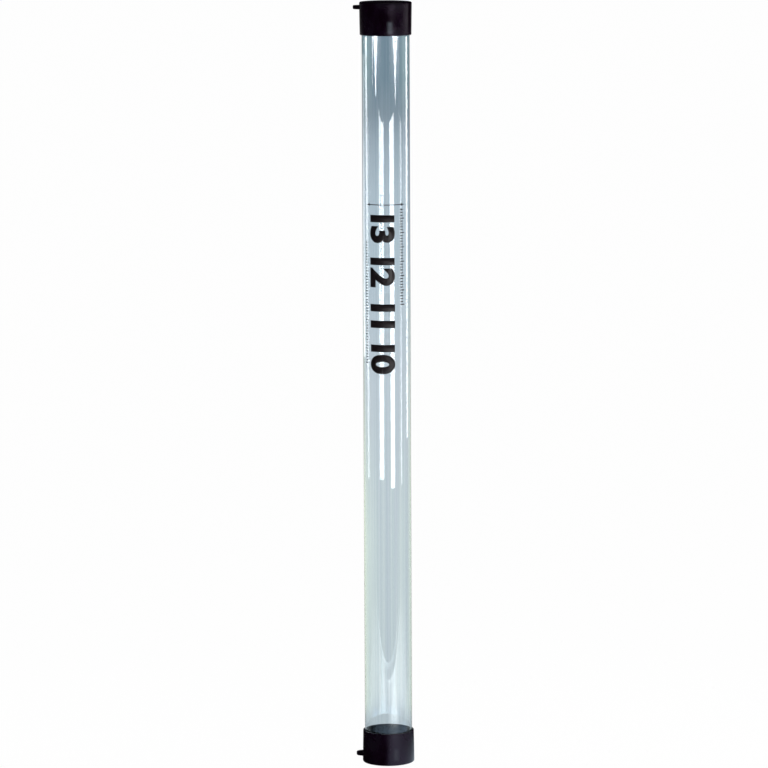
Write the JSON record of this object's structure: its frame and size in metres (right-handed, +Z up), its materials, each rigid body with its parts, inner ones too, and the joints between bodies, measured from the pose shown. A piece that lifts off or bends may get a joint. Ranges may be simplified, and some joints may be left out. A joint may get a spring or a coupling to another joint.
{
  "type": "tennis ball pickup tube",
  "caption": "Clear upright tube with soft black slip-on end caps and strap tabs; sprung tongues in the open lower cap let balls in and hold them.",
  "frame": {"origin": "on the tube's axis, in the plane of the open lower cap's end face, which the tube stands on", "axes": "+Z up along the tube from the open lower cap to the closed top cap; +X to the right and +Y to the back as seen in the picture, with both strap tabs to the left and slightly back"},
  "size_m": [0.0897, 0.08, 1.177],
  "materials": {
    "clear_plastic": "clear, glossy, faintly grey-blue extruded tube",
    "soft_black": "black moulded rubber with a soft satin sheen",
    "insert_plastic": "black moulded plastic, satin",
    "tongue_plastic": "black flexible plastic, satin"
  },
  "bodies": {
    "tube": {"clear_tube": "clear_plastic"},
    "cap": {"top_cap": "soft_black"},
    "collar": {"pickup_collar": "soft_black", "retainer_insert": "insert_plastic"},
    "tongue_body_1": {"tongue_1": "tongue_plastic"},
    "tongue_body_2": {"tongue_2": "tongue_plastic"},
    "tongue_body_3": {"tongue_3": "tongue_plastic"},
    "tongue_body_4": {"tongue_4": "tongue_plastic"},
    "tongue_body_5": {"tongue_5": "tongue_plastic"},
    "tongue_body_6": {"tongue_6": "tongue_plastic"},
    "tongue_body_7": {"tongue_7": "tongue_plastic"},
    "tongue_body_8": {"tongue_8": "tongue_plastic"}
  },
  "joints": [
    {"name": "top_cap_pull", "type": "slide", "parent": "tube", "child": "cap", "axis": [0, 0, 1], "range_m": [0, 0.06]},
    {"name": "pickup_collar_pull", "type": "slide", "parent": "tube", "child": "collar", "axis": [0, 0, -1], "range_m": [0, 0.06]},
    {"name": "tongue_1_fold", "type": "hinge", "parent": "collar", "child": "tongue_body_1", "pos_m": [0.03522, 0, 0.0062], "axis": [0, 1, 0], "range_deg": [0, 87], "stiffness_Nm_per_rad": 0.004, "springref_deg": -8.59},
    {"name": "tongue_2_fold", "type": "hinge", "parent": "collar", "child": "tongue_body_2", "pos_m": [0.0249, 0.0249, 0.0062], "axis": [-0.7071, 0.7071, 0], "range_deg": [0, 87], "stiffness_Nm_per_rad": 0.004, "springref_deg": -8.59},
    {"name": "tongue_3_fold", "type": "hinge", "parent": "collar", "child": "tongue_body_3", "pos_m": [0, 0.03522, 0.0062], "axis": [-1, 0, 0], "range_deg": [0, 87], "stiffness_Nm_per_rad": 0.004, "springref_deg": -8.59},
    {"name": "tongue_4_fold", "type": "hinge", "parent": "collar", "child": "tongue_body_4", "pos_m": [-0.0249, 0.0249, 0.0062], "axis": [-0.7071, -0.7071, 0], "range_deg": [0, 87], "stiffness_Nm_per_rad": 0.004, "springref_deg": -8.59},
    {"name": "tongue_5_fold", "type": "hinge", "parent": "collar", "child": "tongue_body_5", "pos_m": [-0.03522, 0, 0.0062], "axis": [0, -1, 0], "range_deg": [0, 87], "stiffness_Nm_per_rad": 0.004, "springref_deg": -8.59},
    {"name": "tongue_6_fold", "type": "hinge", "parent": "collar", "child": "tongue_body_6", "pos_m": [-0.0249, -0.0249, 0.0062], "axis": [0.7071, -0.7071, 0], "range_deg": [0, 87], "stiffness_Nm_per_rad": 0.004, "springref_deg": -8.59},
    {"name": "tongue_7_fold", "type": "hinge", "parent": "collar", "child": "tongue_body_7", "pos_m": [0, -0.03522, 0.0062], "axis": [1, 0, 0], "range_deg": [0, 87], "stiffness_Nm_per_rad": 0.004, "springref_deg": -8.59},
    {"name": "tongue_8_fold", "type": "hinge", "parent": "collar", "child": "tongue_body_8", "pos_m": [0.0249, -0.0249, 0.0062], "axis": [0.7071, 0.7071, 0], "range_deg": [0, 87], "stiffness_Nm_per_rad": 0.004, "springref_deg": -8.59}
  ]
}
